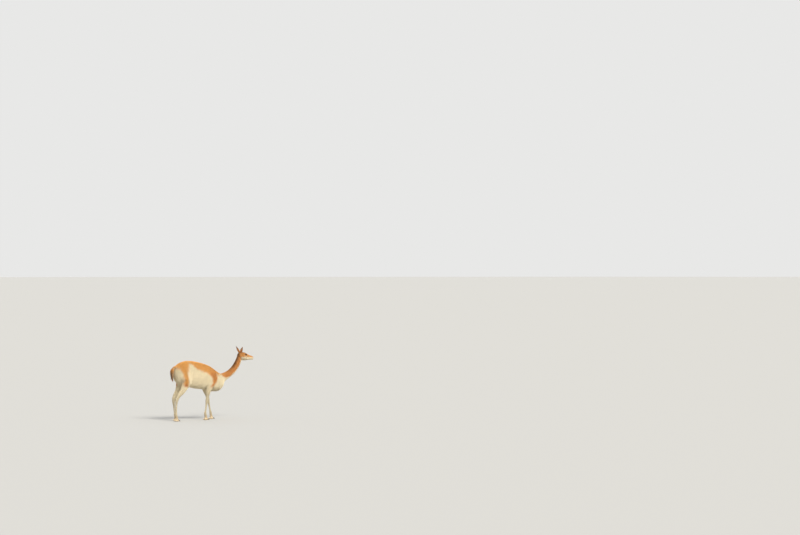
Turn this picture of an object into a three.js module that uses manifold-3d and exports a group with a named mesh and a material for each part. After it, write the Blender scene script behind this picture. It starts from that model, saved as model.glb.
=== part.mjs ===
// A vicuna at life size, walking slowly with its neck stretched forward and up and its head level.
// Millimetres, +X is the way it heads, +Y its left side, +Z up. Its feet stand on the plane Z = 0.
import * as THREE from 'three';
import { mergeVertices } from 'three/addons/utils/BufferGeometryUtils.js';
import Module from 'manifold-3d';

const wasm = await Module();
wasm.setup();

const GAP = 0.3; // left between two nodes that touch
const BIG = 3000; // larger than the animal

// Spine: rows of x, top of the back, underside of the chest and belly, half width.
const TORSO = [
  [-390, 752, 652, 34],
  [-372, 792, 604, 74],
  [-346, 830, 566, 104],
  [-300, 864, 536, 128],
  [-230, 889, 512, 140],
  [-150, 899, 496, 146],
  [-60, 890, 476, 152],
  [40, 871, 461, 152],
  [130, 848, 451, 147],
  [215, 818, 440, 136],
  [290, 776, 432, 122],
  [360, 730, 430, 106],
  [425, 700, 446, 88],
  [475, 684, 486, 68],
  [506, 664, 534, 42],
];

// Neck: rows of x, z, half size to the nape, half size to the throat, half width.
const NECK = [
  [330, 600, 120, 112, 92],
  [430, 596, 98, 84, 74],
  [510, 624, 80, 68, 60],
  [585, 662, 68, 62, 53],
  [660, 712, 63, 60, 50],
  [725, 776, 61, 58, 48],
  [775, 850, 60, 57, 47],
  [803, 915, 57, 55, 47],
  [818, 965, 48, 50, 42],
];
const NECK_CUTS = [2.15, 4.6]; // where the neck meets the chest, and its own middle, counted in rows
const HEAD_CUT = { nape: [770, 985], throat: [818, 850] };

// Head, in its own frame: rows of distance from the back of the skull, top, underside, half width.
const HEAD = [
  [-12, 24, -30, 34],
  [4, 40, -50, 43],
  [30, 51, -66, 51],
  [62, 56, -72, 55],
  [92, 54, -71, 55],
  [118, 47, -66, 49],
  [145, 38, -57, 40],
  [172, 30, -49, 33],
  [196, 26, -45, 30],
  [216, 23, -42, 29],
  [231, 17, -38, 25],
  [241, 9, -31, 18],
  [246, 0, -22, 8],
];
const HEAD_ORIGIN = [786, 955];
const HEAD_PITCH = 10; // degrees below level
const HEAD_YAW = -16; // degrees towards its left, so it looks a little to its right

const EYE = { along: 100, up: 21, side: 35, radius: 18 };
const LID = { thick: 3, long: 17, high: 9.5 };
const NOSTRIL = { along: 228, up: 6, side: 17, long: 9, high: 3.6, deep: 9 };
const MOUTH = { from: 172, up: -20, drop: 5, thick: 2.2, deep: 5 };
// Each ear leans back and out, with its opening turned outwards and back.
const EAR = { along: 16, up: 44, side: 33, length: 106, width: 23, depth: 14, wall: 2.6, turn: 118 };
const EAR_LEAN = { right: { back: 8, out: 40 }, left: { back: 34, out: 24 } };

// Tail: rows of x, z, half size to the rear, half size to the front, half width.
const TAIL = [
  [-330, 806, 24, 24, 26],
  [-380, 800, 25, 24, 31],
  [-414, 772, 24, 22, 37],
  [-428, 726, 22, 20, 40],
  [-431, 676, 18, 17, 36],
  [-428, 632, 11, 11, 24],
  [-424, 606, 4, 4, 10],
];

// Legs: the places of their joints (x, z), and rows of share along the joints, y,
// half size to the front, to the back, half width.
const HIND_JOINTS = {
  right: {
    hip: [-240, 755],
    thigh: [-246, 650],
    stifle: [-248, 560],
    gaskin: [-306, 436],
    hock: [-398, 318],
    fetlock: [-412, 92],
  },
  left: {
    hip: [-240, 755],
    thigh: [-240, 650],
    stifle: [-234, 564],
    gaskin: [-276, 440],
    hock: [-346, 316],
    fetlock: [-322, 92],
  },
};
const HIND_ROWS = [
  [0.0, 62, 96, 90, 44],
  [1.0, 84, 102, 104, 60],
  [1.5, 90, 96, 84, 60],
  [2.0, 89, 88, 62, 54],
  [2.5, 86, 62, 50, 44],
  [3.0, 83, 42, 40, 34],
  [3.5, 81, 32, 35, 27],
  [3.85, 80, 28, 32, 26],
  [4.0, 80, 27, 31, 26],
  [4.15, 80, 21, 26, 21],
  [4.4, 80, 17, 19, 16.5],
  [4.75, 80, 16, 18, 16],
  [4.93, 80, 20, 22, 20],
  [5.0, 80, 21, 23, 21],
];
// Below the thigh, through the hock and above the fetlock, counted in rows.
const HIND_CUTS = [3.9, 8.3, 12.3];
const FORE_JOINTS = {
  right: { shoulder: [250, 660], elbow: [186, 500], carpus: [146, 292], fetlock: [116, 92] },
  left: { shoulder: [262, 660], elbow: [216, 500], carpus: [274, 296], fetlock: [322, 92] },
};
const FORE_ROWS = [
  [0.0, 66, 80, 70, 40],
  [0.55, 82, 74, 72, 44],
  [0.95, 88, 52, 60, 43],
  [1.25, 84, 40, 44, 36],
  [1.6, 80, 31, 32, 28],
  [1.85, 78, 27, 26, 24],
  [2.0, 77, 27, 25, 24],
  [2.14, 77, 22, 21, 20],
  [2.4, 77, 16, 17, 15.5],
  [2.75, 77, 15, 17, 15.5],
  [2.93, 77, 19, 21, 19],
  [3.0, 77, 20, 22, 20],
];
const FORE_CUTS = [6.6, 10.6]; // through the carpus and above the fetlock
const HIND_BEND = 8; // the row at the hock
const FORE_BEND = 6; // the row at the carpus
const THIGH_TOP = 600; // the thigh ends here in the torso's socket
const FOREARM_TOP = 515;

// Foot: the pastern from the fetlock down to two toes, each with a nail.
const FOOT = { back: 16, toeLength: 66, toeWide: 14, apart: 15, splay: 7 };
const NAIL = { root: 26, wide: 8, high: 9, proud: 7 };

// Coat locks on the chest, lower flank and tail: how many, and the length, width and thickness of one.
const BIB = { rows: 5, columns: 6, length: 98, width: 28, thick: 11 };
const FRINGE = { rows: 2, columns: 8, length: 68, width: 34, thick: 11 };
const TAIL_LOCKS = { tiers: 3, round: 6, length: 64, width: 20, thick: 7 };

const coat = new THREE.MeshStandardMaterial({ color: 0xc98a4b, roughness: 0.95 });
const pale = new THREE.MeshStandardMaterial({ color: 0xeeddbe, roughness: 0.95 });
const dark = new THREE.MeshStandardMaterial({ color: 0x1c1410, roughness: 0.15 });
const horn = new THREE.MeshStandardMaterial({ color: 0x2c2521, roughness: 0.5 });

// A seeded random number from 0 to 1, the same in every run.
let seed = 7;
function random() {
  seed = (seed * 16807) % 2147483647;
  return seed / 2147483647;
}
const vary = (share) => 1 + share * (2 * random() - 1);

// Closed meshes to solids and back.
function solidOf(geometry) {
  for (const name of ['normal', 'uv']) geometry.deleteAttribute(name);
  const merged = mergeVertices(geometry, 1e-3);
  const mesh = { numProp: 3, vertProperties: merged.attributes.position.array };
  const made = (order) => new wasm.Manifold(new wasm.Mesh({ ...mesh, triVerts: new Uint32Array(order) }));
  const order = merged.index.array;
  const solid = made(order);
  if (solid.volume() > 0) return solid;
  return made(order.map((_, i) => order[i - (i % 3) + 2 - (i % 3)]));
}

function geometryOf(solid) {
  const mesh = solid.getMesh();
  const geometry = new THREE.BufferGeometry();
  geometry.setAttribute('position', new THREE.BufferAttribute(new Float32Array(mesh.vertProperties), 3));
  geometry.setIndex(new THREE.BufferAttribute(new Uint32Array(mesh.triVerts), 1));
  geometry.computeVertexNormals();
  return geometry;
}

const union = (solids) => solids.reduce((all, one) => all.add(one));

function largest(solid) {
  const bodies = solid.decompose();
  return bodies.reduce((best, one) => (one.volume() > best.volume() ? one : best));
}

// Rows of numbers resampled on a Catmull-Rom curve, and the row at a place counted in rows.
function rowAt(rows, place) {
  const i = Math.min(Math.floor(place), rows.length - 2);
  const t = place - i;
  const [a, b, c, d] = [-1, 0, 1, 2].map((k) => rows[Math.min(Math.max(i + k, 0), rows.length - 1)]);
  return b.map((_, k) => {
    const slope = [(c[k] - a[k]) / 2, (d[k] - b[k]) / 2];
    const bend = [t * t * t, t * t, t, 1];
    return (
      (2 * bend[0] - 3 * bend[1] + 1) * b[k] +
      (bend[0] - 2 * bend[1] + t) * slope[0] +
      (3 * bend[1] - 2 * bend[0]) * c[k] +
      (bend[0] - bend[1]) * slope[1]
    );
  });
}

function smooth(rows, steps) {
  const count = (rows.length - 1) * steps;
  return Array.from({ length: count + 1 }, (_, i) => rowAt(rows, i / steps));
}

// Two steps a row down to the knee or hock, and the rows themselves below it, where a leg is nearly straight.
const legRings = (rows, bend) => [...smooth(rows.slice(0, bend + 1), 2), ...rows.slice(bend + 1)];

// A tube's rings, from rows of x, y, z, half size above or in front, half size below or behind, half width.
// The rings of a level tube stand upright.
function ringsOf(rows, level = false) {
  return rows.map((row, i) => {
    const before = rows[Math.max(i - 2, 0)];
    const after = rows[Math.min(i + 2, rows.length - 1)];
    const rise = level ? 0 : after[2] - before[2];
    const along = new THREE.Vector3(after[0] - before[0], 0, rise).normalize();
    return {
      centre: new THREE.Vector3(row[0], row[1], row[2]),
      up: new THREE.Vector3(-along.z, 0, along.x),
      sizes: row.slice(3),
    };
  });
}

function ringPoint(ring, angle, square, grow = 0) {
  const [up, down, half] = ring.sizes;
  const round = (v) => Math.sign(v) * Math.abs(v) ** (2 / square);
  const across = (half + grow) * round(Math.cos(angle));
  const high = round(Math.sin(angle)) * ((Math.sin(angle) > 0 ? up : down) + grow);
  const { x, y, z } = ring.centre;
  return new THREE.Vector3(x, y + across, z).addScaledVector(ring.up, high);
}

function tube(rows, { sides, square = 2, grow = 0, level = false }) {
  const rings = ringsOf(rows, level);
  const points = [];
  const faces = [];
  for (const ring of rings)
    for (let j = 0; j < sides; j++) points.push(ringPoint(ring, (2 * Math.PI * j) / sides, square, grow));
  const at = (i, j) => i * sides + (j % sides);
  for (let i = 0; i < rings.length - 1; i++)
    for (let j = 0; j < sides; j++)
      faces.push(at(i, j), at(i, j + 1), at(i + 1, j + 1), at(i, j), at(i + 1, j + 1), at(i + 1, j));
  for (const end of [0, rings.length - 1]) {
    const middle = points.push(rings[end].centre) - 1;
    for (let j = 0; j < sides; j++)
      faces.push(...(end ? [middle, at(end, j), at(end, j + 1)] : [middle, at(end, j + 1), at(end, j)]));
  }
  const geometry = new THREE.BufferGeometry().setFromPoints(points);
  geometry.setIndex(faces);
  return solidOf(geometry);
}

// Everything on the side of a plane that its normal points to.
function beyond(point, normal) {
  const box = new THREE.BoxGeometry(BIG, BIG, BIG);
  const upright = new THREE.Vector3(0, 0, 1);
  const turn = new THREE.Quaternion().setFromUnitVectors(upright, normal.clone().normalize());
  box.translate(0, 0, BIG / 2).applyQuaternion(turn).translate(point.x, point.y, point.z);
  return solidOf(box);
}
const above = (z) => beyond(new THREE.Vector3(0, 0, z), new THREE.Vector3(0, 0, 1));

// Parts a solid at planes along its length, with the gap between pieces.
function partAt(solid, planes) {
  const pieces = [];
  let rest = solid;
  for (const { point, normal } of planes) {
    const gap = normal.clone().multiplyScalar(GAP / 2);
    pieces.push(largest(rest.subtract(beyond(point.clone().sub(gap), normal))));
    rest = largest(rest.intersect(beyond(point.clone().add(gap), normal)));
  }
  return [...pieces, rest];
}

function planeOn(rows, place) {
  const here = rowAt(rows, place);
  const next = rowAt(rows, Math.min(place + 0.01, rows.length - 1));
  const last = rowAt(rows, Math.max(place - 0.01, 0));
  return {
    point: new THREE.Vector3(here[0], here[1], here[2]),
    normal: new THREE.Vector3(next[0] - last[0], 0, next[2] - last[2]).normalize(),
  };
}

function ball(centre, radii, detail = 10) {
  const sphere = new THREE.SphereGeometry(1, 2 * detail, detail);
  sphere.scale(...radii).translate(...centre);
  return solidOf(sphere);
}

// One flat, tapered lock that bends from its root towards the lie of the coat.
function lock(root, out, lie, { length, width, thick }) {
  const side = new THREE.Vector3().crossVectors(out, lie).normalize();
  const shape = [
    [-0.1, -0.16, 0.75, 1],
    [0.22, 0.1, 1, 1],
    [0.62, 0.13, 0.74, 0.7],
  ];
  const points = [];
  for (const [along, lift, wide, fat] of shape) {
    const centre = root.clone().addScaledVector(lie, along * length);
    centre.addScaledVector(out, lift * length * 0.6);
    points.push(
      centre.clone().addScaledVector(side, (wide * width) / 2),
      centre.clone().addScaledVector(out, (fat * thick) / 2),
      centre.clone().addScaledVector(side, (-wide * width) / 2),
      centre.clone().addScaledVector(out, (-fat * thick) / 2),
    );
  }
  points.push(root.clone().addScaledVector(lie, length).addScaledVector(out, 0.03 * length));
  const faces = [0, 1, 2, 0, 2, 3];
  for (const ring of [0, 4])
    for (let j = 0; j < 4; j++) {
      const [a, b] = [ring + j, ring + ((j + 1) % 4)];
      faces.push(a, a + 4, b + 4, a, b + 4, b);
    }
  for (let j = 0; j < 4; j++) faces.push(8 + j, 12, 8 + ((j + 1) % 4));
  const geometry = new THREE.BufferGeometry().setFromPoints(points);
  geometry.setIndex(faces);
  return solidOf(geometry);
}

// The place and outward direction on a tube's surface.
function surface(rows, place, angle, { square = 2, level = false }) {
  const step = 0.02;
  const ring = (p) => {
    const clear = Math.min(Math.max(p, step), rows.length - 1 - step);
    return ringsOf([clear - step, clear, clear + step].map((q) => rowAt(rows, q)), level)[1];
  };
  const here = ringPoint(ring(place), angle, square);
  const at = (p, turned) => ringPoint(ring(p), turned, square);
  const along = at(place + step, angle).sub(at(place - step, angle));
  const round = at(place, angle + step).sub(at(place, angle - step));
  const out = new THREE.Vector3().crossVectors(round, along).normalize();
  const centre = new THREE.Vector3(...rowAt(rows, place).slice(0, 3));
  if (out.dot(here.clone().sub(centre)) < 0) out.negate();
  return { here, out };
}

function layOn(spot, towards, sizes) {
  const lie = towards.clone().addScaledVector(spot.out, -towards.dot(spot.out)).normalize();
  const varied = Object.fromEntries(['length', 'width', 'thick'].map((k) => [k, sizes[k] * vary(0.12)]));
  return lock(spot.here, spot.out, lie, varied);
}

const torsoRows = TORSO.map(([x, top, bottom, half]) => {
  const middle = bottom + 0.5 * (top - bottom);
  return [x, 0, middle, top - middle, middle - bottom, half];
});
const neckRows = NECK.map(([x, z, nape, throat, half]) => [x, 0, z, nape, throat, half]);
const tailRows = TAIL.map(([x, z, rear, front, half]) => [x, 0, z, front, rear, half]);
const headRows = HEAD.map(([x, top, bottom, half]) => {
  return [x, 0, (top + bottom) / 2, (top - bottom) / 2, (top - bottom) / 2, half];
});
const torsoRings = smooth(torsoRows, 2);
const headRings = smooth(headRows, 2);
const TORSO_FORM = { sides: 28, square: 2.25, level: true };
const HEAD_FORM = { sides: 22, square: 2.1, level: true };
const LEG_FORM = { sides: 14, square: 2.1 };

function legRows(joints, rows, side) {
  const places = Object.values(joints);
  return rows.map(([share, y, front, back, half]) => {
    const [x, z] = rowAt(places, share);
    return [x, side * y, z, front, back, half];
  });
}

const SIDES = { right: -1, left: 1 };

// The head and what is on it, made in the head's own frame and then set on the neck.
function headFrame(solid) {
  return solid.rotate([0, HEAD_PITCH, HEAD_YAW]).translate([HEAD_ORIGIN[0], 0, HEAD_ORIGIN[1]]);
}

function eyelids(side) {
  const centre = [EYE.along, side * EYE.side, EYE.up];
  const lid = EYE.radius + LID.thick;
  const middle = [EYE.along + 1, side * (EYE.side + EYE.radius), EYE.up];
  const opening = ball(middle, [LID.long, EYE.radius * 0.95, LID.high], 6);
  return ball(centre, [lid, lid, lid], 8).subtract(opening);
}

function mouthLine() {
  const slab = new THREE.BoxGeometry(120, 120, MOUTH.thick);
  slab.translate(60, 0, 0).rotateY(Math.atan2(MOUTH.drop, 70)).translate(MOUTH.from, 0, MOUTH.up);
  return solidOf(slab).subtract(tube(headRings, { ...HEAD_FORM, grow: -MOUTH.deep }));
}

function nostril(side) {
  const slit = new THREE.SphereGeometry(1, 12, 8);
  slit.scale(NOSTRIL.long, NOSTRIL.deep, NOSTRIL.high).rotateY(-0.55).rotateZ(side * -0.45);
  slit.translate(NOSTRIL.along, side * (NOSTRIL.side + 4), NOSTRIL.up);
  return solidOf(slit);
}

function lipCleft() {
  const cleft = new THREE.CylinderGeometry(1.6, 1.6, 24, 6);
  cleft.rotateX(Math.PI / 2).translate(246, 0, -10);
  return solidOf(cleft);
}

function headSolid() {
  let head = tube(headRings, HEAD_FORM);
  head = union([head, eyelids(1), eyelids(-1)]);
  for (const side of [1, -1]) {
    const socket = EYE.radius + GAP;
    head = head.subtract(ball([EYE.along, side * EYE.side, EYE.up], [socket, socket, socket], 8));
    head = head.subtract(nostril(side));
  }
  return head.subtract(mouthLine()).subtract(lipCleft());
}

function earSolid(side, { back, out }) {
  const count = 9;
  const cup = (wall) =>
    Array.from({ length: count + 1 }, (_, i) => {
      const s = i / count;
      const leaf = Math.sin(Math.PI * (0.12 + 0.88 * s)) ** 0.75 * (1 - 0.35 * s) + 0.03;
      const bend = 8 * s * s;
      const half = Math.max(EAR.width * leaf - wall, 0.6);
      const deep = Math.max(EAR.depth * leaf - wall, 0.6);
      return [-bend, 0, -18 + (EAR.length + 18) * s, deep, deep * 0.8, half];
    });
  const outer = tube(cup(0), { sides: 12 });
  const inner = tube(cup(EAR.wall).slice(1), { sides: 10 }).translate([EAR.wall + 3.4, 0, 1]);
  return outer
    .subtract(inner)
    .rotate([0, 0, side * EAR.turn])
    .rotate([-side * out, -back, 0])
    .translate([EAR.along, side * EAR.side, EAR.up]);
}

// A foot: a pastern and two toes with flat soles, and their nails in sockets larger by the gap.
function footParts([x, z], y) {
  const pasternRows = [
    [x - 2, y, z + 30, 17, 18, 16],
    [x, y, z, 19, 21, 20],
    [x + 8, y, z - 32, 19, 22, 20],
    [x + 18, y, 24, 20, 24, 20],
  ];
  const toeRows = [
    [-12, 0, 9, 5, 8, 8],
    [2, 0, 13, 11, 15, FOOT.toeWide],
    [26, 0, 16, 14, 18, FOOT.toeWide + 1],
    [48, 0, 13, 11, 15, FOOT.toeWide - 1],
    [FOOT.toeLength - 6, 0, 9, 7, 10, FOOT.toeWide - 6],
  ];
  const nailRows = [
    [FOOT.toeLength - NAIL.root, 0, 16, 5, 5, NAIL.wide - 1],
    [FOOT.toeLength - 12, 0, 14, NAIL.high - 1, NAIL.high - 2, NAIL.wide],
    [FOOT.toeLength - 2, 0, 9, 6, 6, NAIL.wide - 3],
    [FOOT.toeLength + NAIL.proud, 0, 3.5, 1.4, 1.6, 2],
  ];
  const floor = above(0);
  const put = (solid, side) => {
    return solid.rotate([0, 0, side * FOOT.splay]).translate([x - FOOT.back, y + side * FOOT.apart, 0]);
  };
  const toes = [1, -1].map((side) => put(tube(toeRows, { sides: 10 }), side));
  const nails = [1, -1].map((side) => largest(put(tube(nailRows, { sides: 6 }), side).intersect(floor)));
  const rootedBack = nailRows.map((row, i) => (i ? row : [row[0] - GAP, ...row.slice(1)]));
  const nailSockets = [1, -1].map((side) => put(tube(rootedBack, { sides: 6, grow: 1.5 * GAP }), side));
  const foot = union([tube(pasternRows, { sides: 10 }), ...toes]);
  return { foot, nails, nailSockets };
}

const nodes = {};

// Legs, their tubes grown by the gap for the sockets, and their pieces.
const sockets = [];
const legTubes = [];
for (const [side, sign] of Object.entries(SIDES)) {
  const plans = [
    {
      rows: legRows(HIND_JOINTS[side], HIND_ROWS, sign),
      bend: HIND_BEND,
      top: THIGH_TOP,
      cuts: HIND_CUTS,
      joints: HIND_JOINTS[side],
      names: ['thigh', 'shank', 'hind_cannon'],
      foot: 'hind_foot',
    },
    {
      rows: legRows(FORE_JOINTS[side], FORE_ROWS, sign),
      bend: FORE_BEND,
      top: FOREARM_TOP,
      cuts: FORE_CUTS,
      joints: FORE_JOINTS[side],
      names: ['forearm', 'fore_cannon'],
      foot: 'fore_foot',
    },
  ];
  for (const plan of plans) {
    const whole = tube(legRings(plan.rows, plan.bend), LEG_FORM);
    legTubes.push(whole);
    const grown = tube(legRings(plan.rows, plan.bend), { ...LEG_FORM, grow: GAP });
    sockets.push(grown.subtract(above(plan.top + GAP)));
    const { foot, nails, nailSockets } = footParts(plan.joints.fetlock, plan.rows[plan.rows.length - 1][1]);
    const limb = union([whole.subtract(above(plan.top)), foot]).intersect(above(0));
    const cleared = nailSockets.reduce((solid, socket) => solid.subtract(socket), limb);
    const planes = plan.cuts.map((place) => planeOn(plan.rows, place));
    const pieces = partAt(largest(cleared), planes);
    plan.names.forEach((name, i) => (nodes[`${name}_${side}`] = [pieces[i], pale]));
    nodes[`${plan.foot}_${side}`] = [pieces[pieces.length - 1], pale];
    ['outer', 'inner'].forEach((place, i) => {
      const nail = sign > 0 ? nails[i] : nails[1 - i];
      nodes[`nail_${plan.foot.split('_')[0]}_${side}_${place}`] = [nail, horn];
    });
  }
}

// Torso, neck and head in one, parted by planes.
const torsoTube = tube(torsoRings, TORSO_FORM);
const neckTube = tube(smooth(neckRows, 2), { sides: 20 });
const legTops = legTubes.map((leg, i) => leg.intersect(above(i % 2 ? FOREARM_TOP : THIGH_TOP)));
const whole = largest(union([torsoTube, neckTube, headFrame(headSolid()), ...legTops]));
const open = sockets.reduce((solid, socket) => solid.subtract(socket), whole);
const [napeX, napeZ] = HEAD_CUT.nape;
const [throatX, throatZ] = HEAD_CUT.throat;
const headPlane = {
  point: new THREE.Vector3(napeX, 0, napeZ),
  normal: new THREE.Vector3(napeZ - throatZ, 0, throatX - napeX).normalize(),
};
const neckPlanes = NECK_CUTS.map((place) => planeOn(neckRows, place));
const [torsoBare, neckLower, neckUpper, head] = partAt(largest(open), [...neckPlanes, headPlane]);
nodes.neck_lower = [neckLower, coat];
nodes.neck_upper = [neckUpper, coat];

// Ears stand on the head, and the eyeballs lie behind the lids.
const headGrown = headFrame(tube(headRings, { ...HEAD_FORM, grow: GAP }));
for (const [side, sign] of Object.entries(SIDES)) {
  nodes[`ear_${side}`] = [largest(headFrame(earSolid(sign, EAR_LEAN[side])).subtract(headGrown)), coat];
  const eyeball = ball([EYE.along, sign * EYE.side, EYE.up], [EYE.radius, EYE.radius, EYE.radius], 8);
  nodes[`eye_${side}`] = [headFrame(eyeball), dark];
}
nodes.head = [head, coat];

// Chest and lower flank locks of the torso, clear of the legs.
const locks = [];
for (let i = 0; i < BIB.rows; i++)
  for (let j = 0; j < BIB.columns; j++) {
    const angle = -Math.PI / 2 + (j - (BIB.columns - 1) / 2 + (i % 2) / 2 - 0.25) * 0.31;
    const spot = surface(torsoRows, 13.1 - i * 0.58, angle, TORSO_FORM);
    locks.push(layOn(spot, new THREE.Vector3(-0.25, 0, -1), BIB));
  }
for (const sign of [1, -1])
  for (let i = 0; i < FRINGE.rows; i++)
    for (let j = 0; j < FRINGE.columns; j++) {
      const place = 4.85 + (j + (i % 2) / 2) * 0.43;
      const angle = -0.6 - i * 0.26;
      const spot = surface(torsoRows, place, sign > 0 ? angle : Math.PI - angle, TORSO_FORM);
      locks.push(layOn(spot, new THREE.Vector3(-0.55, 0, -0.83), FRINGE));
    }
const clearOfLegs = sockets.reduce((solid, socket) => solid.subtract(socket), union(locks));
nodes.torso = [largest(torsoBare.add(clearOfLegs)), coat];

// Tail, hung with locks.
const tailTube = tube(smooth(tailRows, 2), { sides: 12 });
const tailLocks = [];
for (let i = 0; i < TAIL_LOCKS.tiers; i++)
  for (let j = 0; j < TAIL_LOCKS.round; j++) {
    const angle = (2 * Math.PI * (j + (i % 2) / 2)) / TAIL_LOCKS.round;
    const spot = surface(tailRows, 2.5 + i * 0.8, angle, {});
    tailLocks.push(layOn(spot, new THREE.Vector3(0, 0, -1), TAIL_LOCKS));
  }
const hindGrown = Object.entries(SIDES).map(([side, sign]) => {
  return tube(legRings(legRows(HIND_JOINTS[side], HIND_ROWS, sign), HIND_BEND), { ...LEG_FORM, grow: GAP });
});
const torsoGrown = union([tube(torsoRings, { ...TORSO_FORM, grow: GAP }), ...hindGrown]);
nodes.tail = [largest(union([tailTube, ...tailLocks]).subtract(torsoGrown)), coat];

const vicuna = new THREE.Group();
for (const [name, [solid, material]] of Object.entries(nodes)) {
  const mesh = new THREE.Mesh(geometryOf(solid), material);
  mesh.name = name;
  vicuna.add(mesh);
}

// The origin lies on the floor under the middle of the animal's box.
const box = new THREE.Box3().setFromObject(vicuna);
vicuna.position.set(-(box.min.x + box.max.x) / 2, -(box.min.y + box.max.y) / 2, 0);

export default vicuna;
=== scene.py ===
"""A vicuna at life size: one skin under a coat of tufts, with eyes and nails of their own.

The shape repeats the section rows of the solids, in millimetres in the animal's own frame, and is set
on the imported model. The skin lies inside the solids by the depth of the coat.
"""

import math
from contextlib import contextmanager

import bmesh
import bpy
import numpy as np
from mathutils import Matrix, Vector
from mathutils.kdtree import KDTree


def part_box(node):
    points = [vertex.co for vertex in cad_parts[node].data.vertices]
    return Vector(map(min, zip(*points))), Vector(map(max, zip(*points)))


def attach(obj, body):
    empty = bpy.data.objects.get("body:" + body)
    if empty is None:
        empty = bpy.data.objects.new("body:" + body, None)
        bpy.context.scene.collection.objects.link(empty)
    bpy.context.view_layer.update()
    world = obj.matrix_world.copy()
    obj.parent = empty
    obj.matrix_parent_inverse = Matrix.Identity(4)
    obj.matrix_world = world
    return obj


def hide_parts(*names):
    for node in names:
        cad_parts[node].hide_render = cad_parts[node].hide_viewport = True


MM = 0.001

# Section rows of the solids: torso x, top, bottom, half width.
TORSO = [
    [-390, 752, 652, 34],
    [-372, 792, 604, 74],
    [-346, 830, 566, 104],
    [-300, 864, 536, 128],
    [-230, 889, 512, 140],
    [-150, 899, 496, 146],
    [-60, 890, 476, 152],
    [40, 871, 461, 152],
    [130, 848, 451, 147],
    [215, 818, 440, 136],
    [290, 776, 432, 122],
    [360, 730, 430, 106],
    [425, 700, 446, 88],
    [475, 684, 486, 68],
    [506, 664, 534, 42],
]
# Neck: x, z, half size to the nape, half size to the throat, half width.
NECK = [
    [330, 600, 120, 112, 92],
    [430, 596, 98, 84, 74],
    [510, 624, 80, 68, 60],
    [585, 662, 68, 62, 53],
    [660, 712, 63, 60, 50],
    [725, 776, 61, 58, 48],
    [775, 850, 60, 57, 47],
    [803, 915, 57, 55, 47],
    [818, 965, 48, 50, 42],
]
# Head, in its own frame: distance from the back of the skull, top, underside, half width.
HEAD = [
    [-12, 24, -30, 34],
    [4, 40, -50, 43],
    [30, 51, -66, 51],
    [62, 56, -72, 55],
    [92, 54, -71, 55],
    [118, 47, -66, 49],
    [145, 38, -57, 40],
    [172, 30, -49, 33],
    [196, 26, -45, 30],
    [216, 23, -42, 29],
    [231, 17, -38, 25],
    [241, 9, -31, 18],
    [246, 0, -22, 8],
]
HEAD_ORIGIN = (786, 955)
HEAD_PITCH = 10
HEAD_YAW = -16
EYE = {"along": 100, "up": 21, "side": 35, "radius": 18}
EAR = {"along": 16, "up": 44, "side": 33, "length": 106, "width": 23, "depth": 14, "turn": 118}
EAR_LEAN = {"right": (8, 40), "left": (34, 24)}
# Tail: x, z, half size to the rear, half size to the front, half width.
TAIL = [
    [-330, 806, 24, 24, 26],
    [-380, 800, 25, 24, 31],
    [-414, 772, 24, 22, 37],
    [-428, 726, 22, 20, 40],
    [-431, 676, 18, 17, 36],
    [-428, 632, 11, 11, 24],
    [-424, 606, 4, 4, 10],
]
# Legs: the places of the joints as x, z, and rows of share along them, y, half size to the front,
# half size to the back, half width.
HIND_JOINTS = {
    "right": [[-240, 755], [-246, 650], [-248, 560], [-306, 436], [-398, 318], [-412, 92]],
    "left": [[-240, 755], [-240, 650], [-234, 564], [-276, 440], [-346, 316], [-322, 92]],
}
HIND_ROWS = [
    [0.0, 62, 96, 90, 44],
    [1.0, 84, 102, 104, 60],
    [1.5, 90, 96, 84, 60],
    [2.0, 89, 88, 62, 54],
    [2.5, 86, 62, 50, 44],
    [3.0, 83, 42, 40, 34],
    [3.5, 81, 32, 35, 27],
    [3.85, 80, 28, 32, 26],
    [4.0, 80, 27, 31, 26],
    [4.15, 80, 21, 26, 21],
    [4.4, 80, 17, 19, 16.5],
    [4.75, 80, 16, 18, 16],
    [4.93, 80, 20, 22, 20],
    [5.0, 80, 21, 23, 21],
]
FORE_JOINTS = {
    "right": [[250, 660], [186, 500], [146, 292], [116, 92]],
    "left": [[262, 660], [216, 500], [274, 296], [322, 92]],
}
FORE_ROWS = [
    [0.0, 66, 80, 70, 40],
    [0.55, 82, 74, 72, 44],
    [0.95, 88, 52, 60, 43],
    [1.25, 84, 40, 44, 36],
    [1.6, 80, 31, 32, 28],
    [1.85, 78, 27, 26, 24],
    [2.0, 77, 27, 25, 24],
    [2.14, 77, 22, 21, 20],
    [2.4, 77, 16, 17, 15.5],
    [2.75, 77, 15, 17, 15.5],
    [2.93, 77, 19, 21, 19],
    [3.0, 77, 20, 22, 20],
]
FOOT = {"back": 16, "toe": 66, "wide": 14, "apart": 15, "splay": 7}
NAIL = {"root": 26, "wide": 8, "high": 9, "proud": 7}
SIDES = {"right": -1, "left": 1}

# How far the skin lies inside the solids, in millimetres.
DEPTH = {"torso": 15, "neck": 12, "head": 3, "tail": 9, "leg": 3, "thigh": 9}

# The sole's and the lowest hair's height over the floor, in millimetres.
SOLE = 0.4
LOWEST_HAIR = 0.6

VOXEL = 0.0054
SEED = 20


# Rows resampled on a smooth curve that passes through them.
def row_at(rows, place):
    rows = np.asarray(rows, float)
    i = min(int(place), len(rows) - 2)
    t = place - i
    a, b, c, d = (rows[min(max(i + k, 0), len(rows) - 1)] for k in (-1, 0, 1, 2))
    slope_b, slope_c = (c - a) / 2, (d - b) / 2
    return (
        (2 * t**3 - 3 * t**2 + 1) * b
        + (t**3 - 2 * t**2 + t) * slope_b
        + (3 * t**2 - 2 * t**3) * c
        + (t**3 - t**2) * slope_c
    )


def smooth(rows, steps):
    return np.array([row_at(rows, i / steps) for i in range((len(rows) - 1) * steps + 1)])


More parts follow.
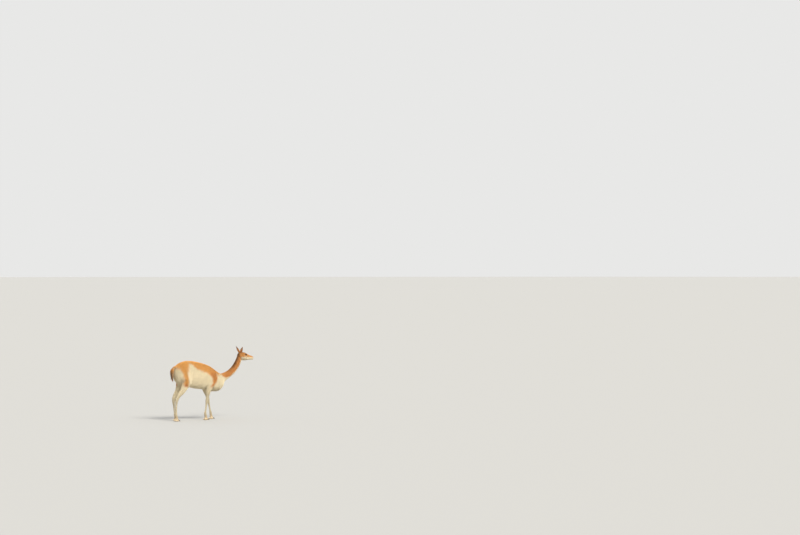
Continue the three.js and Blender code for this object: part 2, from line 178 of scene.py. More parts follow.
def rings_of(rows, level=False):
    """Each ring's centre, its direction towards the front or nape, the way it runs and its sizes."""
    rings = []
    last = len(rows) - 1
    for i, row in enumerate(rows):
        before, after = rows[max(i - 2, 0)], rows[min(i + 2, last)]
        run = Vector((after[0] - before[0], 0, 0 if level else after[2] - before[2])).normalized()
        rings.append((Vector(row[:3]), Vector((-run.z, 0, run.x)), run, row[3:6]))
    return rings


def tube(rows, sides, square=2.0, grow=0.0, level=False):
    """A closed tube of rounded sections, as vertices and faces."""
    rings = rings_of(rows, level)
    angles = [2 * math.pi * j / sides for j in range(sides)]
    points, faces = [], []
    for centre, up, _, (high, low, half) in rings:
        for angle in angles:
            c, s = math.cos(angle), math.sin(angle)
            across = (half + grow) * math.copysign(abs(c) ** (2 / square), c)
            rise = ((high if s > 0 else low) + grow) * math.copysign(abs(s) ** (2 / square), s)
            points.append(centre + Vector((0, across, 0)) + up * rise)
    for i in range(len(rings) - 1):
        for j in range(sides):
            k = (j + 1) % sides
            faces.append((i * sides + j, i * sides + k, (i + 1) * sides + k, (i + 1) * sides + j))
    faces.append(tuple(reversed(range(sides))))
    faces.append(tuple(range((len(rings) - 1) * sides, len(rings) * sides)))
    return points, faces


def placed(name, data):
    """A new object in the scene."""
    made = bpy.data.objects.new(name, data)
    bpy.context.scene.collection.objects.link(made)
    return made


def mesh_object(name, points, faces):
    mesh = bpy.data.meshes.new(name)
    mesh.from_pydata([tuple(p) for p in points], [], faces)
    mesh.update()
    return placed(name, mesh)


def joined(parts):
    """Several (points, faces) in one."""
    points, faces = [], []
    for some_points, some_faces in parts:
        start = len(points)
        points.extend(some_points)
        faces.extend(tuple(start + v for v in face) for face in some_faces)
    return points, faces


def moved(part, matrix):
    points, faces = part
    return [matrix @ Vector(p) for p in points], faces


HEAD_FRAME = (
    Matrix.Translation((HEAD_ORIGIN[0], 0, HEAD_ORIGIN[1]))
    @ Matrix.Rotation(math.radians(HEAD_YAW), 4, "Z")
    @ Matrix.Rotation(math.radians(HEAD_PITCH), 4, "Y")
)


def eye_place(sign):
    """The eyeball's centre in the head's own frame."""
    return Vector((EYE["along"], sign * EYE["side"], EYE["up"]))


def eye_centre(sign):
    return HEAD_FRAME @ eye_place(sign)


def level_rows(rows):
    """Rows of x, top, bottom and half width as x, y, z and the three half sizes."""
    return [[x, 0, (t + b) / 2, (t - b) / 2, (t - b) / 2, half] for x, t, b, half in rows]


def neck_rows():
    return [[x, 0, z, nape, throat, half] for x, z, nape, throat, half in NECK]


def tail_rows():
    return [[x, 0, z, front, rear, half] for x, z, rear, front, half in TAIL]


def leg_rows(joints, rows, sign):
    made = []
    for share, y, front, back, half in rows:
        x, z = row_at(joints, share)
        made.append([x, sign * y, z, front, back, half])
    return made


def toe_matrix(x, y, side):
    return Matrix.Translation((x - FOOT["back"], y + side * FOOT["apart"], 0)) @ Matrix.Rotation(
        math.radians(side * FOOT["splay"]), 4, "Z"
    )


def pastern_rows(x, z, y):
    return [
        [x - 2, y, z + 30, 17, 18, 16],
        [x, y, z, 19, 21, 20],
        [x + 8, y, z - 32, 19, 22, 20],
        [x + 18, y, 24, 20, 24, 20],
    ]


def toe_rows():
    return [
        [-12, 0, 9, 5, 8, 8],
        [2, 0, 13, 11, 15, FOOT["wide"]],
        [26, 0, 16, 14, 18, FOOT["wide"] + 1],
        [48, 0, 13, 11, 15, FOOT["wide"] - 1],
        [FOOT["toe"] - 6, 0, 9, 7, 10, FOOT["wide"] - 6],
    ]


def foot_parts(x, z, y, grow):
    """The pastern and the two toes."""
    toe = smooth(toe_rows(), 3)
    toes = [moved(tube(toe, 16, grow=grow), toe_matrix(x, y, side)) for side in (1, -1)]
    return [tube(smooth(pastern_rows(x, z, y), 3), 16, grow=grow), *toes]


def limbs():
    """Every leg: its side's sign, whether it is a hind one, its rows and the fetlock's place."""
    for side, sign in SIDES.items():
        for hind, joints, rows in (
            (True, HIND_JOINTS[side], HIND_ROWS),
            (False, FORE_JOINTS[side], FORE_ROWS),
        ):
            yield side, sign, hind, leg_rows(joints, rows, sign), joints[-1]


def read(items, field, width, kind=float):
    """One field of every vertex, edge, loop or triangle, as rows."""
    values = np.empty(len(items) * width, kind)
    items.foreach_get(field, values)
    return values.reshape(-1, width)


def coords(mesh):
    return read(mesh.vertices, "co", 3)


def normals_of(mesh):
    return read(mesh.vertices, "normal", 3)


def move_to(mesh, co):
    mesh.vertices.foreach_set("co", co.ravel())
    mesh.update()


def settle(obj, iterations, weight):
    """Evens the mesh out: each vertex moves towards the middle of its neighbours by its own weight."""
    mesh = obj.data
    co = coords(mesh)
    a, b = read(mesh.edges, "vertices", 2, int).T
    count = np.bincount(np.concatenate([a, b]), minlength=len(co))
    w = weight(co)[:, None]
    for _ in range(iterations):
        middle = np.empty_like(co)
        for k in range(3):
            total = np.bincount(a, co[b, k], len(co)) + np.bincount(b, co[a, k], len(co))
            middle[:, k] = total / np.maximum(count, 1)
        co += w * (middle - co)
    move_to(mesh, co)


def step(value, low, high):
    """0 below low, 1 above high, smooth between."""
    t = np.clip((value - low) / (high - low), 0, 1)
    return t * t * (3 - 2 * t)


# The animal's regions, each a centre line with its radius and the way the coat lies on it.
def centre_lines():
    lines = []

    def add(name, rows, against, matrix=None, level=False):
        rings = rings_of(rows, level)
        walked, last = 0.0, rings[0][0]
        for centre, up, run, sizes in rings:
            way = -run if against else run
            radius = (sizes[0] + sizes[1] + 2 * sizes[2]) / 4
            walked, last = walked + (centre - last).length, centre
            if matrix:
                centre, way = matrix @ centre, matrix.to_3x3() @ way
            lines.append((name, centre[:], way[:], radius, walked))

    add("torso", smooth(level_rows(TORSO)[2:-2], 4), True, level=True)
    add("neck", smooth(neck_rows()[1:-1], 4), True)
    add("head", smooth(level_rows(HEAD), 3), True, HEAD_FRAME, level=True)
    for side, sign in SIDES.items():
        add("ear", ear_axis(), False, HEAD_FRAME @ ear_turn(side, sign))
    add("tail", smooth(tail_rows()[2:], 4), False)
    for side, sign, hind, rows, (x, z) in limbs():
        add("hind" if hind else "fore", smooth(rows, 4), False)
        y = rows[-1][1]
        add("foot", smooth(pastern_rows(x, z, y), 3), False)
        for toe in (1, -1):
            add("foot", smooth(toe_rows(), 3), False, toe_matrix(x, y, toe), level=True)
    return lines


def in_head(points):
    """Points of the animal in the head's own frame."""
    inverse = np.array(HEAD_FRAME.inverted())
    return points @ inverse[:3, :3].T + inverse[:3, 3]


class Fields:
    """What the coat and the markings need at a point of the animal, in its own frame in millimetres."""

    def __init__(self, points, normals):
        names, centres, ways, radii, walked = (np.array(column) for column in zip(*centre_lines()))
        self.p = points
        self.share = {name: np.zeros(len(points)) for name in set(names)}
        self.lie = np.zeros_like(points)
        self.inwards = np.zeros(len(points))
        self.flow = np.zeros_like(points)
        for start in range(0, len(points), 20000):
            part = slice(start, start + 20000)
            d = np.linalg.norm(points[part, None, :] - centres[None], axis=2) / radii
            w = np.exp(-14 * (d - d.min(1, keepdims=True)))
            w /= w.sum(1, keepdims=True)
            self.lie[part] = w @ ways
            self.inwards[part] = (unit(w @ centres - points[part]) * normals[part]).sum(1)
            self.flow[part] = points[part] - w @ centres + 0.12 * (w @ walked)[:, None]
            for name in self.share:
                self.share[name][part] = w[:, names == name].sum(1)
        self.head = in_head(points)

    def neck_height(self):
        """From -1 at the throat to 1 at the nape, and the place along the neck counted in rows."""
        rows = smooth(neck_rows(), 6)
        rings = rings_of(rows)
        centres = np.array([ring[0][:] for ring in rings])
        ups = np.array([ring[1][:] for ring in rings])
        flat = self.p[:, [0, 2]]
        nearest = np.empty(len(flat), int)
        for start in range(0, len(flat), 50000):
            part = slice(start, start + 50000)
            d = ((flat[part, None] - centres[None][:, :, [0, 2]]) ** 2).sum(2)
            nearest[part] = d.argmin(1)
        offset = ((self.p - centres[nearest]) * ups[nearest])[:, [0, 2]].sum(1)
        size = np.where(offset > 0, rows[nearest, 3], rows[nearest, 4])
        return offset / size, nearest / 6


# Markings. The flank patch's top as x, z, and its front and rear edges as z, x, like the chest patch's
# rear edge and the rear edge of the band down the thigh.
FLANK_TOP = [[-230, 872], [-160, 857], [-57, 774], [60, 738], [108, 713], [175, 682], [224, 632]]
FLANK_FRONT = [[440, 90], [461, 120], [491, 170], [551, 225], [626, 230], [680, 185]]
FLANK_REAR = [[480, -214], [537, -217], [717, -228], [800, -200], [857, -160]]
THIGH_REAR = [[500, -294], [700, -294], [785, -335]]
CHEST_REAR = [[420, 188], [446, 205], [506, 262], [566, 300], [626, 320], [686, 325]]
BELLY_TOP = [[-320, 610], [-150, 500]]
CHEST_TOP = [[250, 640], [293, 682], [420, 676], [480, 664]]
NECK_PALE = [[0, 0.7], [1, 0.7], [1.5, 0.45], [2.2, 0.0], [3, -0.4], [5, -0.42], [7, -0.3], [8, -0.2]]


def line_at(line, where):
    line = np.array(line, float)
    return np.interp(where, line[:, 0], line[:, 1])


def pale_body(p, edge):
    """The flank and chest patches, the buttocks and the belly."""
    x, y, z = p.T
    flank = np.minimum(line_at(FLANK_TOP, x) - z, line_at(FLANK_FRONT, z) - x)
    flank = np.minimum(flank, x - line_at(FLANK_REAR, z)) + edge
    chest = np.minimum(x - line_at(CHEST_REAR, z), line_at(CHEST_TOP, x) - z) + edge
    buttock = step(line_at(THIGH_REAR, z) - x + edge, -12, 12) * step(785 - z + edge, -20, 20)
    belly = step(line_at(BELLY_TOP, x) - z + edge, 0, 30) * step(90 - np.abs(y), -20, 20)
    return np.maximum.reduce([step(flank, -18, 18), step(chest, -18, 18), buttock, belly])


def pale_head(head, edge):
    """The cheeks, chin and lips, and softly under each eye."""
    u, w, v = head.T
    jaw_line = -16 + 0.10 * (u - 60) - np.maximum(44 - u, 0)
    cheek = step(jaw_line - v + 0.5 * edge, -8, 8)
    muzzle = step(u, 196, 226) * step(4 - v, -8, 6)
    under_eye = 0.55 * bump(u - 112, v - 2, 26, 7) * step(np.abs(w), 20, 35)
    return np.maximum.reduce([cheek, 0.85 * muzzle, under_eye])


def pale_hind(p, edge):
    """All but a band down the outside of the thigh and the rump above it."""
    x, y, z = p.T
    band = step(34 - np.abs(x + 264 + 0.06 * (z - 650)) + edge, -12, 12) * step(z, 500, 540)
    rump = step(z - 770 + edge, -26, 26)
    inside = step(74 - np.abs(y), -8, 8)
    return 1 - np.maximum(band, rump) * (1 - inside)


def rusty_body(p):
    """The band on the shoulder and a spot over the stifle."""
    x, _, z = p.T
    gap = np.minimum(x - line_at(FLANK_FRONT, z), line_at(CHEST_REAR, z) - x)
    shoulder = step(gap, -6, 16) * step(z, 440, 500) * step(770 - z, 0, 90)
    stifle = step(52 - np.hypot(x + 262, z - 530), 0, 30)
    return np.maximum(0.75 * shoulder, 0.9 * stifle)


def head_dark_and_shade(head):
    """The nose with its nostrils and cleft, the lips and the crown, and painted shade at the nape's
    end.
    """
    u, w, v = head.T
    nose = 0.4 * step(u, 232, 242) * step(v + 18, -6, 6) * step(20 - np.abs(w), 0, 8)
    nostrils = [step(1.5 - nostril_share(u, sign * w, v), 0, 0.5) for sign in SIDES.values()]
    cleft = gauss(w, 1.6) * step(u, 232, 240) * step(14 - v, 0, 6)
    lips = step(u, 186, 220) * step(3.4 - np.abs(v - mouth_height(u)), 0, 2.5)
    dark = np.maximum.reduce([nose, *nostrils, cleft, 0.85 * lips])
    dark += 0.3 * step(v, 30, 55) * step(150 - u, 0, 60)
    # Painted shade: the nape's dark runs on up the back of the head to the ears.
    return dark + 0.6 * step(24 - u, 0, 34) * step(v, -45, -15)


def markings(fields, uneven):
    """How pale, rusty and dark the coat is at each point, from 0 to 1, with painted shade in the dark
    on the nape and the tail's rear.
    """
    x, _, z = fields.p.T
    share = fields.share
    edge = uneven * 11
    height, place = fields.neck_height()
    throat = step(line_at(NECK_PALE, place) - height + 0.1 * uneven, -0.12, 0.12)
    throat *= 1 - step(place, 7, 7.6) * step(fields.head[:, 2], -55, -25)
    body = pale_body(fields.p, edge)
    pale = (
        share["torso"] * body
        + share["neck"] * throat
        + share["head"] * pale_head(fields.head, edge)
        + share["hind"] * pale_hind(fields.p, edge)
        + share["fore"] * np.maximum(step(500 - z + edge, -40, 10), body)
        + share["foot"] * 0.8
        + share["ear"] * 0.12 * step(fields.inwards, -0.1, 0.5)
    )
    rust = (
        (share["torso"] + share["hind"] + share["fore"]) * rusty_body(fields.p)
        + share["neck"] * (0.75 - 0.2 * step(height, 0.2, 0.7))
        + share["head"] * 0.45
        + share["tail"] * 0.5
        + share["ear"] * 0.8
    )
    outside = step(0.2 - fields.inwards, 0, 0.5)
    dark = (
        # Painted shade: a dark stripe down the nape, the side of the neck turned away from the light.
        share["neck"] * step(height + 0.1 * uneven, 0.25, 0.85) * step(place, 2.0, 5.5) * 0.85
        # Painted shade on the tail's rear face, turned away from the light.
        + share["tail"] * step(-x, 420, 440) * 0.85
        + share["head"] * head_dark_and_shade(fields.head)
        + share["ear"] * outside * (0.35 + 0.45 * step(z, 1020, 1075))
    )
    for r in eye_rims(fields):
        dark += step(1.17 - r, 0, 0.1)
    return np.clip(pale, 0, 1), np.clip(rust, 0, 1), np.clip(dark, 0, 1)


def eye_rims(fields):
    """For each eye, 0 at the middle of its opening, 1 on its rim, and large away from it."""
    for sign in SIDES.values():
        away = fields.head - np.array(eye_place(sign))
        near = np.linalg.norm(away, axis=1) < EYE["radius"] + 12
        near &= sign * fields.head[:, 1] > 15
        yield np.where(near, opening_share(away, sign), 9)


MOUTH = {"from": 172, "up": -20, "drop": 5}


def mouth_height(u):
    return MOUTH["up"] - MOUTH["drop"] * (u - MOUTH["from"]) / 70


def nostril_share(u, w, v):
    """0 in the middle of a nostril's slanted slit and 1 on its edge, for w counted outwards."""
    a = (u - 228) * 0.83 + (v - 6) * 0.56
    c = -(u - 228) * 0.56 + (v - 6) * 0.83
    return np.sqrt((a / 8.5) ** 2 + (c / 3.3) ** 2) + 9 * step(6 - w, 0, 5)


# The skin.
def raw_skin():
    parts = [
        tube(smooth(level_rows(TORSO), 4), 64, 2.25, -DEPTH["torso"], True),
        tube(smooth(neck_rows(), 6), 48, 2.0, -DEPTH["neck"]),
        tube(smooth(tail_rows(), 4), 32, 2.0, -DEPTH["tail"]),
        moved(tube(smooth(level_rows(HEAD), 5), 48, 2.1, -DEPTH["head"], True), HEAD_FRAME),
    ]
    for side, sign, hind, rows, (x, z) in limbs():
        inset = [row[:3] + [size - leg_depth(row[2]) for size in row[3:]] for row in rows]
        parts.append(tube(smooth(inset, 5), 32, 2.1))
        parts.extend(foot_parts(x, z, rows[-1][1], -1.5))
    points, faces = joined(parts)
    return [p * MM for p in points], faces


def leg_depth(z):
    share = min(max((z - 330) / 250, 0), 1)
    return DEPTH["leg"] + share * (DEPTH["thigh"] - DEPTH["leg"])


def remeshed(obj, voxel):
    change = obj.modifiers.new("voxels", "REMESH")
    change.mode = "VOXEL"
    change.voxel_size = voxel
    mesh = bpy.data.meshes.new_from_object(obj.evaluated_get(bpy.context.evaluated_depsgraph_get()))
    obj.modifiers.clear()
    old = obj.data
    obj.data = mesh
    bpy.data.meshes.remove(old)


def soften(co):
    """How much each part of the skin evens out: the trunk and where legs and neck meet it most."""
    x, y, z = (co / MM).T
    trunk = step(z, 430, 520) * step(700 - x, 0, 80)
    return 0.12 + 0.5 * trunk


@contextmanager
def edited(mesh):
    """A mesh's faces, edges and vertices for a change, written back after it."""
    b = bmesh.new()
    b.from_mesh(mesh)
    yield b
    b.to_mesh(mesh)
    b.free()


def finer(obj, region):
    """Splits the faces of a region, told by a place and the same place in the head's frame."""
    inverse = HEAD_FRAME.inverted()
    with edited(obj.data) as b:
        inside = set()
        for face in b.faces:
            place = face.calc_center_median() / MM
            if region(place, inverse @ place):
                inside.update(face.edges)
        bmesh.ops.subdivide_edges(b, edges=list(inside), cuts=1, use_grid_fill=True, smooth=0.6)


def near_face(p, q):
    return q.x > 2 and q.z > -90 and p.x > 700


def near_detail(_, q):
    at_eye = (q - Vector((EYE["along"], math.copysign(50, q.y), EYE["up"]))).length < 34
    return at_eye or q.x > 164


# The hollow before the eye, the brow, the cheek, the eye socket and the hollow behind the lips: how far
# out, the middle along and up, how wide and high, and where on the side it starts and is full.
FACE_FORMS = [
    [-3.0, 128, 8, 20, 12, 15, 30],
    [3.0, 96, 42, 22, 7, 15, 30],
    [3.5, 60, -34, 30, 22, 20, 40],
    [5.0, 103, 20, 34, 24, 15, 32],
    [-2.0, 160, -10, 26, 12, 12, 25],
]


def face_push(u, w, v):
    """How far the face stands out or in: its forms, the mouth between two lips, cleft and nostrils."""
    push = np.zeros(len(u))
    for out, along, up, wide, high, start, full in FACE_FORMS:
        push += out * bump(u - along, v - up, wide, high) * step(np.abs(w), start, full)
    off = v - mouth_height(u)
    lips = 1.6 * gauss(off - 5, 3.5) + 1.4 * gauss(off + 5, 3.5) - 4.2 * gauss(off, 1.5)
    push += step(u, MOUTH["from"] - 8, MOUTH["from"] + 10) * lips
    push -= 2.2 * gauss(w, 1.4) * step(u, 232, 240) * step(off, -2, 4) * step(14 - v, 0, 6)
    for sign in SIDES.values():
        r = nostril_share(u, sign * w, v)
        push += -4.8 * step(1.15 - r, 0, 0.55) + 1.6 * gauss(r - 1.5, 0.35)
    return push


def round_eye(q, sign):
    """The skin swells over the eyeball, and inside the lids' opening it lies behind it."""
    centre = np.array(eye_place(sign))
    away = q - centre
    reach = np.maximum(np.linalg.norm(away, axis=1), 1)
    outwards = (away / reach[:, None]) @ gaze_of(sign)
    swollen = smooth_max(reach, EYE["radius"] + 2.2, 5.0)
    hole = step(1.32 - opening_share(away, sign), 0, 0.22) * (outwards > 0.3)
    target = swollen * (1 - hole) + (EYE["radius"] - 3.0) * hole
    near = (outwards > -0.75) & (reach < 60)
    return np.where(near[:, None], centre + away * (target / reach)[:, None], q)


def sculpt_head(mesh):
    """Shapes the face and the eye sockets in the head's own frame."""
    co = coords(mesh) / MM
    start = in_head(co)
    normals = normals_of(mesh) @ np.array(HEAD_FRAME.inverted())[:3, :3].T
    q = start + normals * face_push(*start.T)[:, None]
    for sign in SIDES.values():
        q = round_eye(q, sign)
    head = (start[:, 0] > -5) & (co[:, 0] > 690) & (start[:, 2] > -95)
    forward = np.array(HEAD_FRAME)
    co = np.where(head[:, None], q @ forward[:3, :3].T + forward[:3, 3], co)
    move_to(mesh, co * MM)


def smooth_max(a, b, soft):
    h = np.clip(0.5 + 0.5 * (a - b) / soft, 0, 1)
    return b * (1 - h) + a * h + soft * h * (1 - h)


def eye_axes(sign):
    """Where an eye looks, and its opening's long and short directions."""
    gaze = Vector((0.22, sign, 0.04)).normalized()
    along = (Vector((1, 0, -0.10)) - gaze * gaze.dot(Vector((1, 0, -0.10)))).normalized()
    up = gaze.cross(along) * -sign
    if up.z < 0:
        up.negate()
    return gaze, along, up


def gaze_of(sign):
    return np.array(eye_axes(sign)[0])


LID_OPEN = {"half": 16.5, "upper": 10.2, "lower": 8.4}


def opening_share(away, sign):
    """0 at the middle of an eye's opening and 1 on its rim."""
    gaze, along, up = (np.array(axis) for axis in eye_axes(sign))
    direction = unit(away)
    forward = np.clip(direction @ gaze, -1, 1)
    turned = unit(direction - forward[:, None] * gaze) * (np.arccos(forward) * EYE["radius"])[:, None]
    a, b = turned @ along, turned @ up
    high = np.where(b > 0, LID_OPEN["upper"], LID_OPEN["lower"])
    return np.sqrt((a / LID_OPEN["half"]) ** 2 + (b / high) ** 2)


def gauss(value, width):
    return np.exp(-((value / width) ** 2))


def bump(a, b, wide, high):
    return np.exp(-((a / wide) ** 2) - (b / high) ** 2)


# The lid's section: shares of the opening, with the height over the eyeball, in millimetres.
LID_PROFILE = [(0.93, -0.8), (0.96, 0.6), (1.0, 1.5), (1.08, 2.3)]
LID_PROFILE += [(1.2, 2.8), (1.36, 3.0), (1.55, 2.4), (1.8, 1.0)]


def lid_parts(sign):
    """The rims of both lids, from under their edge out into the skin that swells over the eyeball."""
    count = 64
    centre = eye_place(sign)
    gaze, along, up = eye_axes(sign)
    points = []
    for spread, lift in LID_PROFILE:
        for i in range(count):
            angle = 2 * math.pi * i / count
            c, s = math.cos(angle), math.sin(angle)
            corner = 1 - 0.22 * abs(c) ** 5
            high = LID_OPEN["upper" if s > 0 else "lower"]
            reach = along * (LID_OPEN["half"] * c * spread) + up * (high * s * spread * corner)
            size = reach.length / EYE["radius"]
            direction = gaze * math.cos(size) + reach.normalized() * math.sin(size)
            fold = 0.7 * max(s, 0) * math.exp(-(((spread - 1.2) / 0.15) ** 2))
            points.append(centre + direction * (EYE["radius"] + lift + fold))
    faces = []
    for i in range(len(LID_PROFILE) - 1):
        for j in range(count):
            k = (j + 1) % count
            face = (i * count + j, i * count + k, (i + 1) * count + k, (i + 1) * count + j)
            faces.append(face if sign > 0 else tuple(reversed(face)))
    return moved((points, faces), HEAD_FRAME)


def ear_axis():
    """The ear's centre line, with its sizes."""
    rows = []
    for i in range(13):
        s = i / 12
        leaf = ear_leaf(s)
        size = EAR["depth"] * leaf
        rows.append([-8 * s * s, 0, -10 + (EAR["length"] + 8) * s, size, size, EAR["width"] * leaf])
    return rows


def ear_leaf(s):
    return math.sin(math.pi * (0.12 + 0.88 * s)) ** 0.75 * (1 - 0.35 * s) + 0.03


def ear_turn(side, sign):
    back, out = EAR_LEAN[side]
    return (
        Matrix.Translation((EAR["along"], sign * EAR["side"], EAR["up"]))
        @ Matrix.Rotation(math.radians(-back), 4, "Y")
        @ Matrix.Rotation(math.radians(-sign * out), 4, "X")
        @ Matrix.Rotation(math.radians(sign * EAR["turn"]), 4, "Z")
    )


def ear_parts(side, sign):
    """A leaf-shaped cup with a rolled edge, thick at its base, open towards its own front."""
    count, around = 26, 30
    outer, inner = [], []
    for i in range(count + 1):
        s = i / count
        leaf = ear_leaf(s)
        half = max(EAR["width"] * leaf - 1.5, 0.6)
        deep = max(EAR["depth"] * leaf - 1.5, 0.6)
        rise = -18 + (EAR["length"] + 16) * s
        bend = -8 * s * s
        open_share = min(max((s - 0.10) / 0.16, 0), 1)
        reach = math.pi * (1 - 0.42 * open_share)
        for points, thin in ((outer, 0.0), (inner, 1.6 + 0.8 * (1 - s))):
            for j in range(around + 1):
                angle = math.pi + reach * (2 * j / around - 1)
                x = bend + max(deep - thin, 0.3) * math.cos(angle) + thin * 0.4
                y = max(half - thin, 0.3) * math.sin(angle)
                points.append(Vector((x, y, rise)))
    width = around + 1
    total = len(outer)
    faces = []
    for i in range(count):
        for j in range(around):
            a, b = i * width + j, (i + 1) * width + j
            faces.append((a, a + 1, b + 1, b))
            faces.append((total + a, total + b, total + b + 1, total + a + 1))
        for j in (0, around):
            a, b = i * width + j, (i + 1) * width + j
            face = (a, b, total + b, total + a)
            faces.append(face if j == 0 else tuple(reversed(face)))
    top = count * width
    for j in range(around):
        faces.append((top + j, top + j + 1, total + top + j + 1, total + top + j))
    return moved((outer + inner, faces), HEAD_FRAME @ ear_turn(side, sign))


def add_parts(obj, parts):
    """Adds loose parts, in millimetres, to a mesh object."""
    points, faces = joined(parts)
    extra = mesh_object("extra", [p * MM for p in points], faces)
    with edited(obj.data) as b:
        b.from_mesh(extra.data)
    bpy.data.objects.remove(extra)


def unwrap(obj):
    bpy.context.view_layer.objects.active = obj
    obj.select_set(True)
    bpy.ops.object.mode_set(mode="EDIT")
    bpy.ops.mesh.select_all(action="SELECT")
    bpy.ops.uv.smart_project(angle_limit=math.radians(66), island_margin=0.001)
    bpy.ops.object.mode_set(mode="OBJECT")
    obj.select_set(False)
    obj.data.uv_layers[0].name = "OFBake"


def make_skin():
    skin = mesh_object("skin", *raw_skin())
    remeshed(skin, VOXEL)
    settle(skin, 40, soften)
    finer(skin, near_face)
    settle(skin, 6, lambda co: 0.35 * step(co[:, 0] / MM, 740, 790))
    finer(skin, near_detail)
    sculpt_head(skin.data)
    floor_level(skin.data)
    extras = [lid_parts(sign) for sign in SIDES.values()]
    extras += [ear_parts(side, sign) for side, sign in SIDES.items()]
    add_parts(skin, extras)
    triangulated(skin)
    skin.data.shade_smooth()
    unwrap(skin)
    return skin


def floor_level(mesh):
    """The soles are flat on the floor."""
    co = coords(mesh)
    co[:, 2] = np.maximum(co[:, 2], SOLE * MM)
    move_to(mesh, co)


def triangulated(obj):
    with edited(obj.data) as b:
        bmesh.ops.triangulate(b, faces=b.faces[:])


ATTRIBUTE_FIELDS = {"FLOAT": "value", "FLOAT_COLOR": "color", "FLOAT_VECTOR": "vector"}


def set_attribute(mesh, name, values, kind="FLOAT"):
    layer = mesh.attributes.new(name, kind, "POINT")
    field = ATTRIBUTE_FIELDS[kind]
    layer.data.foreach_set(field, np.ascontiguousarray(values, np.float32).ravel())


def wobble(p):
    """A slow, smooth unevenness from -1 to 1, for the edges of markings."""
    x, y, z = (p / 1000).T
    return (
        np.sin(31 * x + 2.1 * np.sin(23 * z) + 5 * y)
        + np.sin(47 * z + 1.7 * np.sin(29 * x) - 7 * y)
        + np.sin(83 * x - 61 * z + 9 * y)
    ) / 3


# Coat tufts: per region, how many to the square metre, their length and width in millimetres, and
# their lift as a share of their length. Then how far neighbours draw together into locks.
COAT = {
    "torso": {"density": 76000, "length": 25, "width": 3.9, "lift": 0.34},
    "neck": {"density": 150000, "length": 18, "width": 2.5, "lift": 0.30},
    "head": {"density": 430000, "length": 6.5, "width": 1.3, "lift": 0.42},
    "ear": {"density": 480000, "length": 6.0, "width": 1.1, "lift": 0.34},
    "tail": {"density": 110000, "length": 58, "width": 3.6, "lift": 0.13},
    "hind": {"density": 170000, "length": 10, "width": 2.0, "lift": 0.45},
    "fore": {"density": 170000, "length": 10, "width": 2.0, "lift": 0.45},
    "foot": {"density": 300000, "length": 7, "width": 1.5, "lift": 0.42},
}
CLUMPED = {"torso": 0.42, "neck": 0.14, "tail": 0.4, "hind": 0.15, "fore": 0.15}


def roots(skin, rng):
    """Random places on the skin with their normals, closer together where the coat is finer."""
    mesh = skin.data
    mesh.calc_loop_triangles()
    count = len(mesh.loop_triangles)
    tri = read(mesh.loop_triangles, "vertices", 3, int)
    loops = read(mesh.loop_triangles, "loops", 3, int)
    co = coords(mesh)
    normals = normals_of(mesh)
    uv = read(mesh.uv_layers["OFBake"].data, "uv", 2)
    a, b, c = co[tri[:, 0]], co[tri[:, 1]], co[tri[:, 2]]
    crossed = np.cross(b - a, c - a)
    area = np.linalg.norm(crossed, axis=1) / 2
    fields = Fields((a + b + c) / 3 / MM, unit(crossed))
    density = sum(fields.share[name] * COAT[name]["density"] for name in COAT)
    density -= upper_legs(fields) * (COAT["hind"]["density"] - COAT["torso"]["density"])
    wanted = area * density * bare(fields)
    whole = np.floor(wanted + rng.random(count)).astype(int)
    face = np.repeat(np.arange(count), whole)
    r1, r2 = rng.random(len(face)), rng.random(len(face))
    over = r1 + r2 > 1
    r1[over], r2[over] = 1 - r1[over], 1 - r2[over]
    weights = np.stack([1 - r1 - r2, r1, r2], 1)[:, :, None]
    place = (co[tri[face]] * weights).sum(1)
    normal = unit((normals[tri[face]] * weights).sum(1))
    root_uv = (uv[loops[face]] * weights).sum(1)
    return place / MM, normal, root_uv


def upper_legs(fields):
    """The thighs and forearms, where the legs' short hair turns into the trunk's long coat."""
    return (fields.share["hind"] + fields.share["fore"]) * step(fields.p[:, 2], 350, 540)


def bare(fields):
    """1 where hair grows, 0 on the eyelids' edges, the nose, the lips and the soles."""
    u, w, v = fields.head.T
    nose = step(u, 232, 240) * step(v + 26, -4, 4)
    lips = step(u, 186, 205) * step(3.2 - np.abs(v - mouth_height(u)), 0, 1)
    eyes = [step(1.14 - r, 0, 0.07) for r in eye_rims(fields)]
    face = np.maximum.reduce([nose, lips, *eyes]) * (fields.share["head"] > 0.4)
    margin = 1.4 + 0.9 * step(u, 226, 232)
    nostrils = [step(margin - nostril_share(u, sign * w, v), 0, 0.2) for sign in SIDES.values()]
    soles = step(7 - fields.p[:, 2], 0, 3)
    return (1 - np.maximum.reduce([face, *nostrils])) * (1 - soles)


def unit(vectors):
    return vectors / np.maximum(np.linalg.norm(vectors, axis=-1, keepdims=True), 1e-9)


def across(vectors, normals):
    return unit(vectors - normals * (vectors * normals).sum(-1, keepdims=True))


def coat_values(fields):
    values = {}
    for key in ("length", "width", "lift"):
        values[key] = sum(fields.share[name] * COAT[name][key] for name in COAT)
    x, y, z = fields.p.T
    torso = fields.share["torso"]
    bib = torso * step(x, 180, 300) * step(560 - z, 0, 90)
    fringe = torso * step(590 - z, 0, 110) * step(x, -230, -120) * (1 - bib)
    values["length"] *= 1 + 1.9 * bib + 0.9 * fringe
    values["lift"] *= 1 - 0.25 * bib
    upper = upper_legs(fields)
    for key in values:
        values[key] += upper * (COAT["torso"][key] - COAT["hind"][key])
    nape_end = fields.share["neck"] * step(z, 800, 930)
    values["length"] *= 1 - 0.4 * nape_end
    values["width"] *= 1 - 0.4 * nape_end
    values["length"] *= 1 + 0.2 * fields.share["tail"] * step(690 - z, 0, 80)
    u = fields.head[:, 0]
    face = fields.share["head"] * step(u, 120, 200)
    values["length"] *= 1 - 0.45 * face
    values["width"] *= 1 - 0.25 * face
    return values


